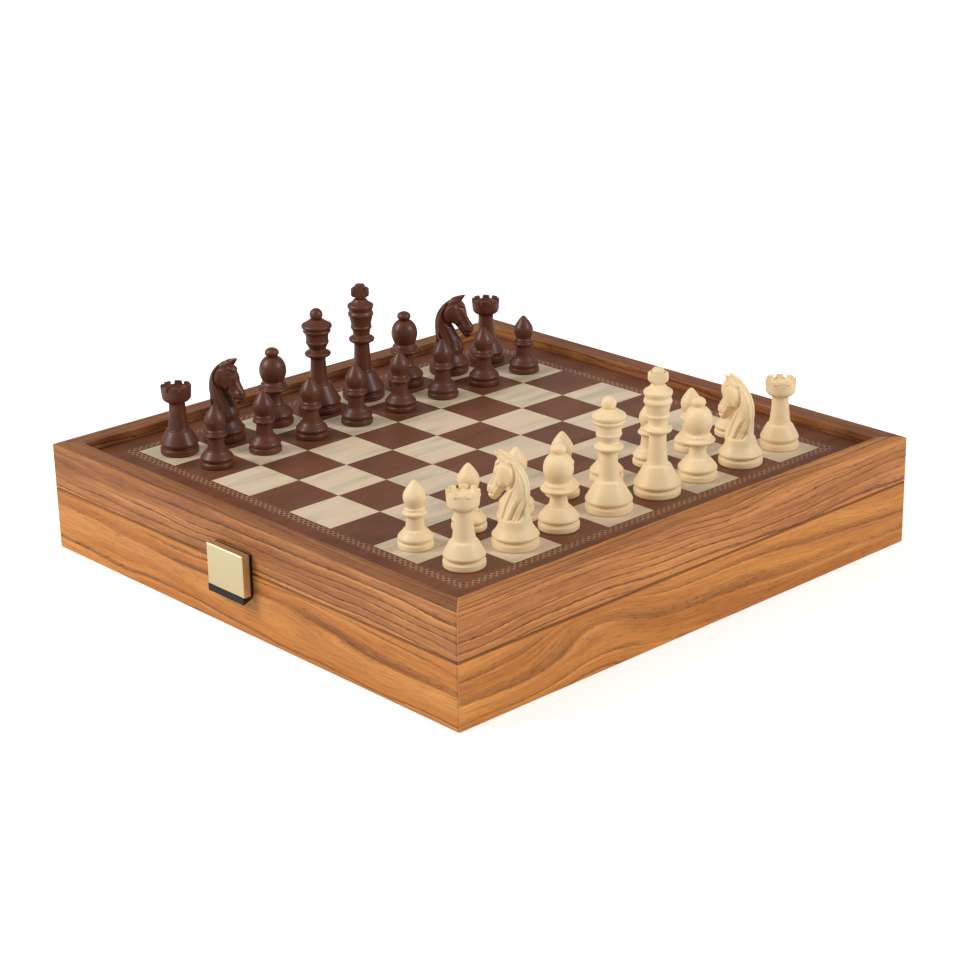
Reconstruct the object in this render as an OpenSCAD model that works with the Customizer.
// Chess box whose hinged lid carries a recessed playing board, with its thirty-two chessmen.
// Sizes are in millimetres. The origin is the centre of the underside and +Z is up. The latch
// is on the front, at -Y, the hinges are at the rear, at +Y, and the light men stand along +X.

/* [Box] */
// Width of the box, from side to side
box_w = 270; // [256:1:320]
// Depth of the box, from front to rear
box_d = 273; // [256:1:320]
// Height of the lower half
base_h = 28.85; // [26:0.05:45]
// Height of the lid
lid_h = 20.85; // [18:0.05:35]
// Gap between the closed halves
seam_gap = 0.3; // [0.2:0.05:0.5]
// Thickness of the side boards, which is the rim's width seen from above
wall_t = 10.4; // [9.6:0.1:12]
// Radius on the upright corners and along the rim's outer edge
corner_r = 1.2; // [0.6:0.1:2]
// Radius along the rim's inner edge
rim_ease = 0.5; // [0.3:0.1:1]
// Radius along the seam's edges
seam_ease = 0.4; // [0.2:0.1:0.8]
// Radius along the edge that the box stands on
foot_ease = 0.6; // [0.3:0.1:1.5]

/* [Bottom, lining and divider] */
// Thickness of the bottom panel
bottom_t = 4; // [3:0.5:6]
// Width of the ledge that the side boards give the bottom panel
ledge_w = 5; // [3:0.5:6]
// Thickness of the felt lining
lining_t = 1; // [0.6:0.1:2]
// Thickness of the divider between the two bays
divider_t = 4; // [3:0.5:8]
// Depth of the divider's grooves in the front and rear boards
divider_groove = 2; // [1:0.5:3]
// Drop of the divider's top below the seam
divider_drop = 3; // [1:0.5:8]
// Clearance round a panel, sheet or strip in its seat
seat_gap = 0.1; // [0.05:0.05:0.2]

/* [Playing board] */
// Side of one square
square_w = 27; // [22:0.5:27.5]
// Width of the ornament band round the squares
band_w = 5.4; // [3:0.1:6]
// Depth of the playing surface below the rim
recess = 4.4; // [2:0.1:6]
// Thickness of the inlaid veneers
veneer_t = 0.6; // [0.4:0.1:1]
// Thickness of the panel under the veneers
panel_t = 4; // [3:0.5:6]
// Depth of the groove that holds the panel's edge
panel_groove = 4; // [2:0.5:5]
// Width of the glue line between two veneers
glue_line = 0.06; // [0.04:0.01:0.1]

/* [Hinges] */
// Length of a hinge
hinge_l = 32; // [24:1:45]
// Distance from the box's side to the hinge
hinge_inset = 38; // [20:1:60]
// Depth of a hinge leaf in the board's edge
leaf_w = 7.6; // [6:0.1:8.5]
// Thickness of a hinge leaf
leaf_t = 0.8; // [0.6:0.1:1.2]
// Diameter of the barrel
barrel_d = 3.6; // [3:0.1:5]
// Diameter of the hinge pin
pin_d = 1.6; // [1.2:0.1:1.8]
// Radial clearance of the pin
pin_gap = 0.05; // [0.03:0.01:0.08]
// Number of knuckles in a barrel
knuckles = 5; // [3:2:7]
// Clearance between two knuckles, and of a knuckle in the other leaf
knuckle_gap = 0.2; // [0.1:0.05:0.3]
// Angle at which the stops meet
open_angle = 100; // [90:1:110]
// Length of the stops beyond the barrel
stop_l = 1.3; // [0.8:0.1:2]
// Thickness of the stops
stop_t = 0.9; // [0.6:0.1:1.4]
// Length of a hinge screw
hinge_screw_l = 9; // [6:0.5:12]

/* [Latch] */
// Width of the brass plate
plate_w = 24; // [16:0.5:32]
// Height of the brass plate
plate_h = 18.5; // [14:0.5:24]
// Thickness of the brass plate
plate_t = 3.8; // [2.5:0.1:5]
// Height of the plate's top above the seam
plate_rise = 8.8; // [7:0.1:12]
// Distance from the middle of the front to the latch's middle, towards the left
latch_offset = 1.6; // [0:0.1:4]
// Bevel on the plate's front edges
plate_bevel = 0.4; // [0.2:0.1:0.8]
// Thickness of the carrier behind the plate
carrier_t = 1.6; // [1.2:0.1:2.5]
// Drop of the carrier's top below the plate's top
carrier_drop = 0.5; // [0.2:0.1:1.5]
// Height of the finger lip below the plate
lip_h = 3; // [2:0.1:4]
// Thickness of the lip's root
lip_root = 0.8; // [0.5:0.1:1.5]
// Air gap between the carrier and the front of the lower half
latch_gap = 0.3; // [0.2:0.05:0.5]
// Diameter of the magnet and of its keeper
magnet_d = 8; // [6:0.5:9]
// Thickness of the magnet
magnet_t = 2.4; // [2:0.1:3]
// Thickness of the steel keeper
keeper_t = 2; // [1.5:0.1:3]
// Depth of the magnet's centre below the seam
magnet_drop = 5; // [4.6:0.1:6]
// Distance between the two carrier screws
carrier_screw_pitch = 15; // [9:0.5:18]
// Length of a carrier screw
carrier_screw_l = 8; // [6:0.5:10]

/* [Chessmen] */
// Base diameter of a pawn
pawn_d = 14.9; // [12:0.1:18]
// Height of a pawn
pawn_h = 28.5; // [22:0.5:36]
// Base diameter of a rook
rook_d = 17.4; // [14:0.1:20]
// Height of a rook
rook_h = 31.9; // [26:0.5:40]
// Number of notches in a rook's parapet
rook_notches = 8; // [4:1:10]
// Width of a notch in a rook's parapet
rook_notch_w = 1.9; // [1:0.1:2.4]
// Depth of a notch in a rook's parapet
rook_notch_h = 1.7; // [1:0.1:2.2]
// Base diameter of a knight
knight_d = 19.6; // [16:0.1:22]
// Height of a knight, to the tips of its ears
knight_h = 39.2; // [32:0.1:48]
// Base diameter of a bishop
bishop_d = 17.4; // [14:0.1:20]
// Height of a bishop
bishop_h = 36.7; // [30:0.5:46]
// Base diameter of a queen
queen_d = 20.3; // [16:0.1:23]
// Height of a queen
queen_h = 49.8; // [40:0.5:60]
// Base diameter of a king
king_d = 20.3; // [16:0.1:23]
// Height of a king, to the top of its cross
king_h = 56; // [46:0.5:66]

/* [Hidden] */
$fn = 48;
over = 1; // how far a cutter runs past a face

walnut = "#A9683A";
walnut_red = "#97552F";
cream = "#D9C7A8";
dark_wood = "#6A4636";
border_wood = "#74503B";
felt_green = "#3F5A45";
brass = "#D8C48A";
steel = "#A8A8A8";
black = "#1E1E1E";
ivory = "#EEDBB4";
chocolate = "#5B3E34";

// Heights
lid_z = base_h + seam_gap;
seam_z = base_h + seam_gap / 2;
box_h = lid_z + lid_h;
board_z = box_h - recess;
panel_top = board_z - veneer_t;
panel_z = panel_top - panel_t;

// Inside of the boards, and the outlines of the inlays on the board
inner_w = box_w - 2 * wall_t;
inner_d = box_d - 2 * wall_t;
field_w = 8 * square_w;
banded_w = field_w + 2 * band_w;

// Sides of the box, counted from the front
FRONT = 0;
RIGHT = 1;
REAR = 2;
LEFT = 3;

// Hinges
barrel_r = barrel_d / 2;
barrel_stand = knuckle_gap;
hinge_y = box_d / 2 + barrel_r + barrel_stand;
hinge_xs = [for (side = [-1, 1]) side * (box_w / 2 - hinge_inset - hinge_l / 2)];
knuckle_l = hinge_l / knuckles;
leaf_clear = 0.05; // each leaf's distance from the seam's middle plane
leaf_y = -barrel_r - barrel_stand - leaf_w;
hinge_screw_y = leaf_y + leaf_w / 2;
hinge_screw_xs = [for (side = [-1, 1]) side * hinge_l * 0.31];
stop_slack = 0.2; // degrees left on each stop when the lid is fully open

// Latch
front_y = -box_d / 2;
plate_top = lid_z + plate_rise;
plate_z = plate_top - plate_h;
latch_x = -latch_offset;
magnet_z = seam_z - magnet_drop;
pocket_gap = 0.05; // clearance of a disc in its pocket
carrier_screw_z = lid_z + plate_rise / 2;

// Wood screws: head diameter, shank diameter, head height
hinge_screw = [3, 1.6, 0.7];
carrier_screw = [3.6, 2, 1];
screw_tip = 1.6;
screw_gap = 0.05;
screw_sink = 0.05; // a head lies this far below the face it holds

// Chessmen, by file from a to h
files = ["a", "b", "c", "d", "e", "f", "g", "h"];
back_rank = ["rook", "knight", "bishop", "queen", "king", "bishop", "knight", "rook"];

// Each man is [node's name, kind, light or not, file, rank]
men = [
    for (light = [true, false], pawn = [false, true], file = [0:7])
        let (kind = pawn ? "pawn" : back_rank[file], side = light ? "light" : "dark",
             rank = light ? (pawn ? 2 : 1) : (pawn ? 7 : 8))
        [str(side, "_", kind, "_", files[file]), kind, light, file, rank]
];

// ---- Boards of the box ----

// Points of an arc about [cx, cy], from one angle to another
function arc(cx, cy, r, from, to, steps = 4) =
    [for (i = [0:steps]) let (a = from + (to - from) * i / steps) [cx + r * cos(a), cy + r * sin(a)]];

// Section of a lower board: outer face at 0, inner face at wall_t, a ledge for the bottom panel
base_section = concat(
    arc(foot_ease, foot_ease, foot_ease, 270, 180),
    arc(seam_ease, base_h - seam_ease, seam_ease, 180, 90),
    [[wall_t, base_h], [wall_t, bottom_t], [wall_t - ledge_w, bottom_t], [wall_t - ledge_w, 0]]
);

// Section of a lid board: rounded rim, groove for the board panel
lid_section = concat(
    arc(seam_ease, lid_z + seam_ease, seam_ease, 270, 180),
    arc(corner_r, box_h - corner_r, corner_r, 180, 90),
    arc(wall_t - rim_ease, box_h - rim_ease, rim_ease, 90, 0),
    [[wall_t, panel_top], [wall_t - panel_groove, panel_top], [wall_t - panel_groove, panel_z],
     [wall_t, panel_z], [wall_t, lid_z]]
);

module rounded_outline(w, d, r) {
    square([w - 2 * r, d], center = true);
    square([w, d - 2 * r], center = true);
    for (x = [-1, 1], y = [-1, 1]) translate([x * (w / 2 - r), y * (d / 2 - r)]) circle(r);
}

// One mitred board with the given section, turned to its side of the box
module mitred_board(side, section) {
    along = side % 2 == 0 ? box_w : box_d;
    across = side % 2 == 0 ? box_d : box_w;
    rotate([0, 0, 90 * side]) intersection() {
        translate([-along / 2, -across / 2, 0]) rotate([90, 0, 90]) linear_extrude(along) polygon(section);
        linear_extrude(box_h) intersection() {
            rounded_outline(along, across, corner_r);
            polygon([[-along / 2, -across / 2], [along / 2, -across / 2],
                     [along / 2 - wall_t, wall_t - across / 2], [wall_t - along / 2, wall_t - across / 2]]);
        }
    }
}

// Grooves across the front and rear boards for the ends of the divider
module divider_grooves() {
    size = [divider_t + 2 * seat_gap, inner_d + 2 * divider_groove, base_h];
    translate([-size[0] / 2, -size[1] / 2, bottom_t]) cube(size);
}

module base_front() {
    color(walnut) difference() {
        mitred_board(FRONT, base_section);
        divider_grooves();
        keeper_pocket();
    }
}

module base_right() {
    color(walnut) mitred_board(RIGHT, base_section);
}

module base_rear() {
    color(walnut) difference() {
        mitred_board(REAR, base_section);
        divider_grooves();
        at_hinges() leaf_mortise();
    }
}

module base_left() {
    color(walnut) mitred_board(LEFT, base_section);
}

module lid_front() {
    color(walnut_red) difference() {
        mitred_board(FRONT, lid_section);
        at_carrier_screws() screw_hole(carrier_screw, carrier_screw_l);
    }
}

module lid_right() {
    color(walnut_red) mitred_board(RIGHT, lid_section);
}

module lid_rear() {
    color(walnut_red) difference() {
        mitred_board(REAR, lid_section);
        at_hinges() mirror([0, 0, 1]) leaf_mortise();
    }
}

module lid_left() {
    color(walnut_red) mitred_board(LEFT, lid_section);
}

// ---- Bottom, linings and divider ----

// A flat sheet of the given size, centred on the box, standing at z
module sheet(w, d, t, z) {
    translate([-w / 2, -d / 2, z]) cube([w, d, t]);
}

module base_bottom() {
    grow = 2 * (ledge_w - seat_gap);
    color(dark_wood) sheet(inner_w + grow, inner_d + grow, bottom_t, 0);
}

// Two felt sheets, one in each bay
module base_lining() {
    color(felt_green) difference() {
        sheet(inner_w - 2 * seat_gap, inner_d - 2 * seat_gap, lining_t, bottom_t);
        sheet(divider_t + 2 * seat_gap, box_d, base_h, 0);
    }
}

module base_divider() {
    length = inner_d + 2 * (divider_groove - seat_gap);
    color(walnut) sheet(divider_t, length, base_h - divider_drop - bottom_t, bottom_t);
}

module lid_lining() {
    color(felt_green) sheet(inner_w - 2 * seat_gap, inner_d - 2 * seat_gap, lining_t, panel_z - lining_t);
}

// ---- Playing board ----

module board_panel() {
    grow = 2 * (panel_groove - seat_gap);
    color(dark_wood) sheet(inner_w + grow, inner_d + grow, panel_t, panel_z);
}

// Four mitred veneer strips between an inner and an outer rectangle
module veneer_frame(in_w, in_d, out_w, out_d) {
    for (side = [0:3]) {
        in = side % 2 == 0 ? [in_w, in_d] / 2 : [in_d, in_w] / 2;
        out = side % 2 == 0 ? [out_w, out_d] / 2 : [out_d, out_w] / 2;
        rotate([0, 0, 90 * side]) translate([0, 0, panel_top]) linear_extrude(veneer_t)
            polygon([[glue_line - out[0], -out[1]], [out[0] - glue_line, -out[1]],
                     [in[0] - glue_line, -in[1]], [glue_line - in[0], -in[1]]]);
    }
}

module board_border() {
    color(border_wood) veneer_frame(banded_w, banded_w, inner_w - 2 * seat_gap, inner_d - 2 * seat_gap);
}

module ornament_band() {
    color("#9A7452") veneer_frame(field_w, field_w, banded_w - glue_line, banded_w - glue_line);
}

function square_centre(file, rank) = [(4.5 - rank) * square_w, (file - 3.5) * square_w];

// Men that stand off the middle of their square: [node's name, [along X, along Y], degrees turned]
off_centre = [
    ["light_rook_a", [1, -1.5], 0], ["light_knight_b", [0, 0.5], 14], ["light_bishop_c", [-1, -1], 0],
    ["light_queen_d", [-1, 1.5], 0], ["light_king_e", [0.5, 2.5], 0], ["light_bishop_f", [0, 1.5], 0],
    ["light_knight_g", [1, 1.5], 0], ["light_rook_h", [-0.5, 2.5], 0], ["light_pawn_a", [-1, -1.5], 0],
    ["dark_rook_a", [0.5, -1], 0], ["dark_knight_b", [0, -2.5], 15], ["dark_knight_g", [0.5, 1], 36]
];

// The thirty-two squares of one colour: a file and rank that add up to an odd number are dark
module squares(dark) {
    size = square_w - glue_line;
    for (file = [0:7], rank = [1:8]) if (((file + rank) % 2 == 1) == dark)
        translate(concat(square_centre(file, rank), panel_top)) linear_extrude(veneer_t)
            square(size, center = true);
}

module light_squares() {
    color(cream) squares(false);
}

module dark_squares() {
    color(dark_wood) squares(true);
}

// ---- Screws ----

// A countersunk wood screw that points down, with its head's face at the origin
module wood_screw(kind, length) {
    rotate_extrude() polygon([[0, 0], [kind[0] / 2, 0], [kind[1] / 2, -kind[2]],
                              [kind[1] / 2, screw_tip - length], [0, -length]]);
}

// The countersink and hole that such a screw fills
module screw_hole(kind, length) {
    head = kind[0] / 2 + screw_gap;
    shank = kind[1] / 2 + screw_gap;
    rotate_extrude() polygon([[0, over], [head, over], [head, 0], [shank, -kind[2]],
                              [shank, -length - screw_gap], [0, -length - screw_gap]]);
}

// ---- Hinges: modelled about the axis, +X along the pin, +Y away from the box ----

module at_hinges() {
    for (x = hinge_xs) translate([x, hinge_y, seam_z]) children();
}

module at_hinge_screws() {
    for (x = hinge_screw_xs) translate([x, hinge_screw_y, -leaf_clear - screw_sink]) children();
}

// A knuckle-shaped cylinder over the knuckles from first on, every second one
module over_knuckles(first, r, gap) {
    for (i = [first:2:knuckles - 1]) translate([i * knuckle_l - hinge_l / 2 + gap, 0, 0])
        rotate([0, 90, 0]) cylinder(r = r, h = knuckle_l - 2 * gap);
}

// Recess in the edge of the lower rear board, with the screws' pilot holes
module leaf_mortise() {
    translate([-hinge_l / 2 - seat_gap, leaf_y - seat_gap, -leaf_clear - leaf_t])
        cube([hinge_l + 2 * seat_gap, leaf_w + over, leaf_t + over]);
    at_hinge_screws() screw_hole(hinge_screw, hinge_screw_l);
}

// Stops that stand on the knuckles from first on and point along an angle from +Y. A bridge
// may join them; it lies inside their outline by a small margin all round.
module stops(first, angle, bridge) {
    from_r = barrel_r / 2;
    margin = 0.05;
    below = angle < 0 ? stop_t : 0;
    rotate([angle, 0, 0]) translate([-hinge_l / 2, 0, -below]) {
        for (i = [first:2:knuckles - 1]) translate([i * knuckle_l + knuckle_gap / 2, from_r, 0])
            cube([knuckle_l - knuckle_gap, barrel_r + stop_l - from_r, stop_t]);
        if (bridge) translate([knuckle_l / 2, barrel_r + 1.5 * knuckle_gap, margin])
            cube([hinge_l - knuckle_l, stop_l - 1.5 * knuckle_gap - margin, stop_t - 2 * margin]);
    }
}

// A leaf that lies below the seam, with the knuckles from first on
module leaf(first) {
    difference() {
        union() {
            difference() {
                translate([(knuckle_gap - hinge_l) / 2, leaf_y, -leaf_clear - leaf_t])
                    cube([hinge_l - knuckle_gap, -leaf_y, leaf_t]);
                over_knuckles(1 - first, barrel_r + knuckle_gap, -knuckle_gap / 2);
            }
            over_knuckles(first, barrel_r, knuckle_gap / 2);
            children();
        }
        rotate([0, 90, 0]) cylinder(r = pin_d / 2 + pin_gap, h = hinge_l + 2 * over, center = true);
        at_hinge_screws() screw_hole(hinge_screw, hinge_screw_l);
    }
}

// The lower leaves' stops are joined by a bridge over the other leaf's knuckles
module hinge_base_leaves() {
    color(brass) at_hinges() leaf(0) stops(0, -open_angle / 2 - stop_slack, true);
}

// The upper leaves' stops meet that bridge when the lid is fully open
module hinge_lid_leaves() {
    color(brass) at_hinges() mirror([0, 0, 1]) leaf(1) mirror([0, 0, 1]) stops(1, open_angle / 2, false);
}

module hinge_pins() {
    color(brass) at_hinges() rotate([0, 90, 0]) cylinder(d = pin_d, h = hinge_l, center = true);
}

module hinge_base_screws() {
    color(brass) at_hinges() at_hinge_screws() wood_screw(hinge_screw, hinge_screw_l);
}

module hinge_lid_screws() {
    color(brass) at_hinges() mirror([0, 0, 1]) at_hinge_screws() wood_screw(hinge_screw, hinge_screw_l);
}

// ---- Latch: a magnet under a brass plate on the lid, and a steel keeper in the lower half ----

// Turns children that point up so that they point out of the front face, at a height z
module on_front(x, z, out = 0) {
    translate([x, front_y - out, z]) rotate([90, 0, 0]) children();
}

// Extrudes a section drawn as [distance out of the front face, height] to the plate's width
module across_plate(section) {
    translate([latch_x - plate_w / 2, front_y, 0]) mirror([0, 1, 0]) rotate([90, 0, 90])
        linear_extrude(plate_w) polygon(section);
}

module at_carrier_screws() {
    for (side = [-1, 1])
        on_front(latch_x + side * carrier_screw_pitch / 2, carrier_screw_z, carrier_t - screw_sink) children();
}

module magnet_space(gap) {
    on_front(latch_x, magnet_z, latch_gap) cylinder(d = magnet_d + 2 * gap, h = magnet_t + gap);
}

module latch_carrier() {
    face = carrier_t + plate_t;
    top = plate_top - carrier_drop;
    color(black) difference() {
        across_plate([[0, lid_z], [0, top], [carrier_t, top], [carrier_t, plate_z],
                      [face, plate_z], [face, plate_z - lip_h], [latch_gap, plate_z - lip_root],
                      [latch_gap, lid_z]]);
        magnet_space(pocket_gap);
        on_front(latch_x, magnet_z) cylinder(d = magnet_d + 2 * pocket_gap, h = latch_gap + over);
        at_carrier_screws() screw_hole(carrier_screw, carrier_screw_l);
    }
}

module latch_plate() {
    back = carrier_t;
    face = carrier_t + plate_t;
    color(brass) difference() {
        intersection() {
            across_plate([[back, plate_z], [back, plate_top], [face - plate_bevel, plate_top],
                          [face, plate_top - plate_bevel], [face, plate_z + plate_bevel],
                          [face - plate_bevel, plate_z]]);
            translate([latch_x, front_y, 0]) linear_extrude(box_h) polygon([
                [-plate_w / 2, 0], [plate_w / 2, 0], [plate_w / 2, plate_bevel - face],
                [plate_w / 2 - plate_bevel, -face], [plate_bevel - plate_w / 2, -face],
                [-plate_w / 2, plate_bevel - face]]);
        }
        magnet_space(pocket_gap);
    }
}

module latch_magnet() {
    color("#3A3A3C") magnet_space(0);
}

module latch_screws() {
    color(steel) at_carrier_screws() wood_screw(carrier_screw, carrier_screw_l);
}

module keeper_pocket() {
    on_front(latch_x, magnet_z, over) mirror([0, 0, 1])
        cylinder(d = magnet_d + 2 * pocket_gap, h = keeper_t + pocket_gap + over);
}

module latch_keeper() {
    color(steel) on_front(latch_x, magnet_z, -pocket_gap) mirror([0, 0, 1]) cylinder(d = magnet_d, h = keeper_t);
}

// ---- Chessmen: turned profiles as [radius, height], drawn at the size of the real men ----

// A profile scaled to a man's own base diameter and height
function fitted(profile, d, h) =
    let (r = max([for (p = profile) p[0]]), top = max([for (p = profile) p[1]]))
    [for (p = profile) [p[0] * d / (2 * r), p[1] * h / top]];

// The foot that every man stands on: a disc, a groove and a rounded bead
function foot(r) = [
    [0, 0], [r - 0.45, 0], [r, 0.5], [r, 2.4], [r - 0.4, 2.9], [r - 1, 3.15], [r - 1.1, 3.6],
    [r - 0.6, 4.1], [r - 0.2, 4.8], [r - 0.3, 5.7]
];

pawn_profile = concat(
    [[0, 0], [7, 0], [7.4, 0.4], [7.4, 2.1], [7.1, 2.5], [6.7, 2.7], [6.7, 3.1], [7.1, 3.6], [7.3, 4.3]],
    [[7.1, 4.9], [6.2, 5.9], [5.4, 6.8], [5, 7.4], [4.7, 7.7], [4.1, 7.8], [3.9, 9], [3.6, 11.5], [3.5, 13.4]],
    arc(4.2, 14.7, 0.8, -80, 80),
    [[4, 15.9], [4.1, 16.6], [3.6, 17.2], [3.9, 18.2], [4.5, 19.8], [4.7, 21.4], [4.4, 22.9]],
    [[3.6, 24.5], [2.3, 26.4], [1.1, 27.9], [0.5, 28.4], [0, 28.5]]
);

// The inside of the rook's head comes last, down to its floor
rook_profile = concat(
    foot(8.65),
    [[7.6, 7.3], [6.6, 8.9], [5.9, 10.2], [5.5, 10.6], [4.7, 10.7], [4.4, 12.5], [3.9, 18], [3.6, 23.4]],
    [[4.1, 24.1], [5.5, 24.8], [6.3, 25.7], [6.55, 26.8], [6.85, 31.9], [5.3, 31.9], [5, 29.6], [0, 29]]
);

bishop_profile = concat(
    foot(8.65),
    [[7.6, 6.8], [6.4, 7.8], [5.6, 8.7], [5.2, 9.1], [4.2, 9.2], [3.7, 10], [3.4, 12.5], [3.4, 15.2]],
    [[4.2, 16], [6.5, 16.4], [7.3, 16.9], [7.5, 17.5], [7.2, 18], [5.9, 18.6], [5.9, 19.6], [5.1, 20.3]],
    [[4.9, 21], [5.6, 22.5], [6.2, 24.5], [6.3, 26.4], [5.9, 28.6], [5.1, 30.3], [4, 31.6], [2.9, 32.3]],
    [for (a = [-50:20:90]) [3.3 * cos(a), 34.3 + 2.4 * sin(a)]]
);

queen_profile = concat(
    foot(10.15),
    [[9.2, 7.5], [8.1, 9.4], [7, 11.4], [6.3, 13.2], [5.7, 13.7], [4.6, 13.8], [4.3, 15.5], [3.9, 19], [3.5, 25.6]],
    [[4.2, 26.4], [5.7, 26.9], [6.2, 27.6], [6.1, 28.4], [5, 29.1], [4, 29.6], [3.9, 30.2], [4.5, 31.6]],
    [[5.2, 32.8], [5.5, 33.6], [5.2, 34.2], [5.3, 36.6], [5.6, 37.6], [6.4, 38.4], [6.6, 39], [6.3, 39.6]],
    [[6.6, 40.1], [7.1, 40.7], [7.2, 41.6], [6.8, 42.2], [5.6, 42.8], [4.2, 43.7], [3, 44.6]],
    [for (a = [-45:15:90]) [3.1 * cos(a), 46.7 + 3.1 * sin(a)]]
);

// The king's turned body ends in the dome that carries the cross
king_dome_z = 49;
king_nominal_h = 56;
king_profile = concat(
    foot(10.1),
    [[9.4, 7.2], [8.4, 8.9], [7.3, 10.6], [6.3, 12], [5.9, 12.9], [5.4, 13.2], [4.5, 13.3], [4.3, 15], [3.9, 20]],
    [[3.6, 26.6], [4, 27.4], [5.6, 28], [6.1, 28.6], [6.1, 29.4], [5.4, 30.1], [4.1, 30.7], [3.9, 31.3]],
    [[4.3, 33.6], [4.9, 34.5], [5.1, 35.1], [4.7, 35.8], [4.9, 37.5], [5.5, 40.1], [6.1, 41], [6, 41.9]],
    [[5.5, 42.8], [5.5, 43.4], [6.1, 44.6], [6.2, 45.6], [5.8, 46.2], [4.6, 46.8], [3.5, 47.8], [2.9, king_dome_z]],
    [[0, king_dome_z]]
);

module turned(profile) {
    rotate_extrude() polygon(profile);
}

module pawn() {
    turned(fitted(pawn_profile, pawn_d, pawn_h));
}

module rook() {
    head_r = rook_d / 2;
    difference() {
        turned(fitted(rook_profile, rook_d, rook_h));
        for (i = [0:rook_notches - 1]) rotate([0, 0, 360 * (i + 0.5) / rook_notches])
            translate([0, -rook_notch_w / 2, rook_h - rook_notch_h]) cube([head_r, rook_notch_w, rook_h]);
    }
}

module bishop() {
    turned(fitted(bishop_profile, bishop_d, bishop_h));
}

module queen() {
    turned(fitted(queen_profile, queen_d, queen_h));
}

// A stout cross whose arms flare and have rounded ends
module king_cross(width, height, thick) {
    waist = 0.42;
    flare = 0.54;
    round = 0.2;
    arm = concat([[-waist, 0], [-waist, waist]], arc(round - flare, 1 - round, round, 180, 90, 2),
                 arc(flare - round, 1 - round, round, 90, 0, 2), [[waist, waist], [waist, 0]]);
    rotate([90, 0, 0]) linear_extrude(thick, center = true) for (turn = [0:90:270])
        scale([width / 2, height / 2]) rotate(turn) polygon(arm);
}

module king() {
    rise = king_h / king_nominal_h;
    cross_h = 8 * rise;
    turned(fitted(king_profile, king_d, king_dome_z * rise));
    translate([0, 0, king_h - cross_h / 2]) rotate([0, 0, 45]) king_cross(8.6, cross_h, 4.4);
}

// The knight's head looks along +X. Each station is a cut across the neck or the head:
// [back or brow point], [chest or jaw point], half width. Points are [forward, up].
knight_stations = [
    [[-6.7, 10], [6.9, 10], 6.3],
    [[-6.4, 13], [7.7, 12.6], 5.2],
    [[-6.1, 17], [6.6, 15.8], 4.3],
    [[-6.4, 21.5], [4.8, 18.7], 3.9],
    [[-6.2, 26.5], [3.2, 21.6], 3.7],
    [[-4.7, 30.8], [2.2, 23.4], 3.7],
    [[-2, 34.3], [1.9, 24.6], 3.8],
    [[1.4, 36.6], [2.2, 24.8], 3.8],
    [[5.3, 37.2], [3, 24], 3.6],
    [[8.1, 35], [4.3, 22.6], 3.4],
    [[9.2, 31.6], [5.6, 20.8], 3.1],
    [[10.1, 28], [7, 18.9], 2.7],
    [[11.1, 24.7], [8.4, 17.2], 2.4],
    [[12.2, 22], [9.8, 16.2], 2.1],
    [[12.7, 20.2], [11.3, 16.8], 1.2]
];
knight_rings = 2; // rings for each station
knight_sides = 20;
knight_base_h = 12;
knight_nominal_h = 39.2;
ear_l = 9.4;
ear_tip = 0.4; // radius
ear_lean = 57; // degrees that the ears lean forward from upright

// A smooth value between the second and third of four, at t from 0 to 1
function blend4(a, b, c, d, t) =
    0.5 * (2 * b + (c - a) * t + (2 * a - 5 * b + 4 * c - d) * t * t + (3 * b - a - 3 * c + d) * t * t * t);

function station(i) = knight_stations[max(0, min(len(knight_stations) - 1, i))];

// The cut at a place along the head, counted in stations
function cut_at(s) =
    let (i = floor(s), t = s - i)
    [for (k = [0:2]) blend4(station(i - 1)[k], station(i)[k], station(i + 1)[k], station(i + 2)[k], t)];

// How far the cheek, and the brow over the eye, stand out at a point of the head's side
function cheek(p) = 0.9 * exp(-pow(norm(p - [2.7, 29.3]) / 5, 4)) + 0.5 * exp(-pow(norm(p - [7, 33.4]) / 1.3, 2));

// One ring of points: an oval through the cut's two ends, pushed out by the cheek. On the head the
// oval narrows towards the brow and the bridge of the nose, as a wedge does.
function cut_ring(cut) = [
    for (k = [0:knight_sides - 1])
        let (a = 360 * k / knight_sides, p = (cut[0] + cut[1]) / 2 + (cut[0] - cut[1]) / 2 * cos(a),
             wedge = 1 - 0.3 * max(0, cos(a)) * min(1, max(0, (p[0] - 2) / 6)),
             side = sin(a) * (cut[2] * wedge + cheek(p)))
        [p[0], side, p[1]]
];

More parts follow.
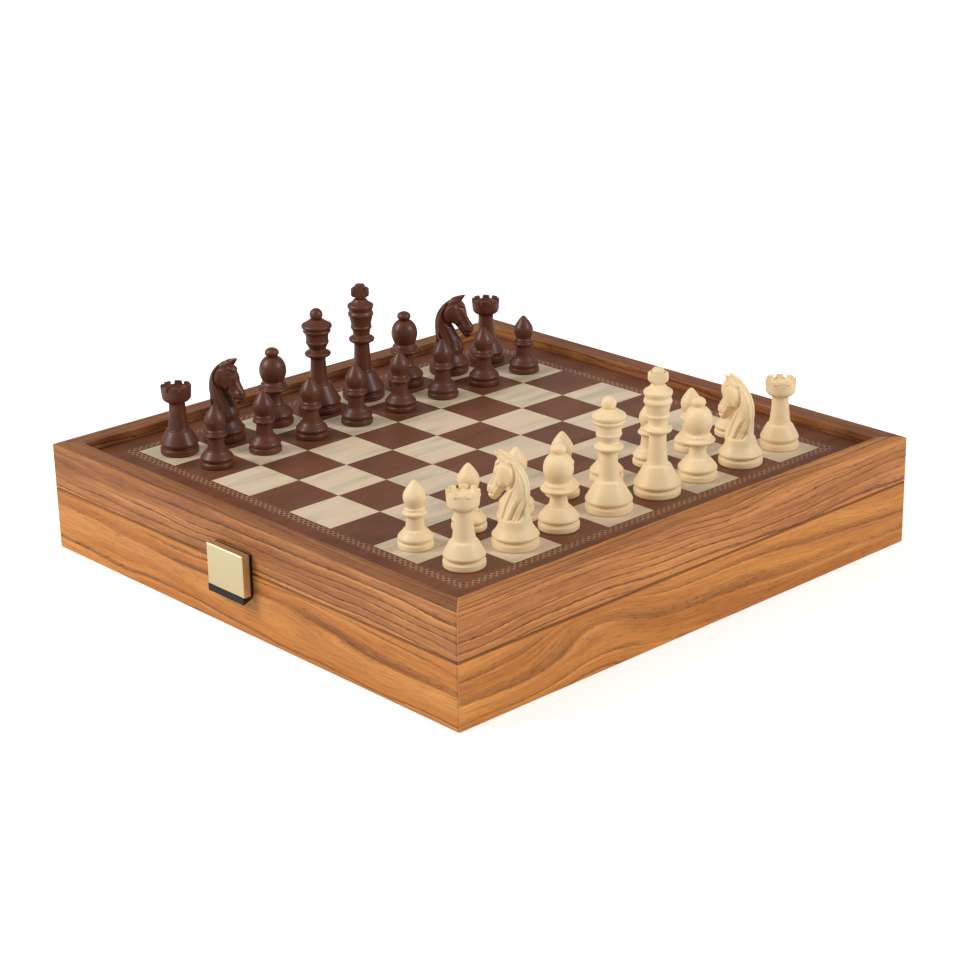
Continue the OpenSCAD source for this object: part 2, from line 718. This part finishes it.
module knight_head() {
    rings = (len(knight_stations) - 1) * knight_rings + 1;
    points = [for (i = [0:rings - 1]) each cut_ring(cut_at(i / knight_rings))];
    sides = [
        for (i = [0:rings - 2], k = [0:knight_sides - 1])
            let (a = i * knight_sides + k, b = i * knight_sides + (k + 1) % knight_sides)
            each [[a, b, a + knight_sides], [b, b + knight_sides, a + knight_sides]]
    ];
    foot_cap = [for (k = [1:knight_sides - 2]) [0, k + 1, k]];
    last = (rings - 1) * knight_sides;
    nose_cap = [for (k = [1:knight_sides - 2]) [last, last + k, last + k + 1]];
    polyhedron(points, concat(sides, foot_cap, nose_cap));
}

// An ear is a spindle whose root end is inside the head
ear_profile = [[0, 0], [1.3, 0.5], [2.2, 2.2], [2.1, 4.4], [1.3, 7], [ear_tip, ear_l], [0, ear_l]];

knight_base_profile = concat(
    foot(9.8),
    [[9.6, 6.4], [9, 7.6], [8.1, 9.2], [7.5, 10.6], [7.3, knight_base_h], [0, knight_base_h]]
);

module knight() {
    rise = knight_h / knight_nominal_h;
    spread = knight_d / 19.6;
    scale([spread, spread, rise]) {
        turned(knight_base_profile);
        knight_head();
        for (side = [-1, 1])
            translate([0.6, side * 1.7, knight_nominal_h - ear_tip - ear_l * cos(ear_lean)]) rotate([0, ear_lean, 0])
                scale([1, 0.75, 1]) rotate_extrude($fn = 16) polygon(ear_profile);
    }
}

// One man on its square, with the knights facing the other side
module chessman(man) {
    kind = man[1];
    found = [for (place = off_centre) if (place[0] == man[0]) place];
    shift = len(found) > 0 ? found[0][1] : [0, 0];
    turn = len(found) > 0 ? found[0][2] : 0;
    color(man[2] ? ivory : chocolate) translate(concat(square_centre(man[3], man[4]) + shift, board_z))
        rotate([0, 0, turn + (man[2] ? 180 : 0)]) {
            if (kind == "pawn") pawn();
            if (kind == "rook") rook();
            if (kind == "knight") knight();
            if (kind == "bishop") bishop();
            if (kind == "queen") queen();
            if (kind == "king") king();
        }
}

base_front();
base_right();
base_rear();
base_left();
base_bottom();
base_lining();
base_divider();
lid_front();
lid_right();
lid_rear();
lid_left();
lid_lining();
board_panel();
board_border();
ornament_band();
light_squares();
dark_squares();
hinge_base_leaves();
hinge_lid_leaves();
hinge_pins();
hinge_base_screws();
hinge_lid_screws();
latch_carrier();
latch_plate();
latch_magnet();
latch_screws();
latch_keeper();
for (man = men) chessman(man);
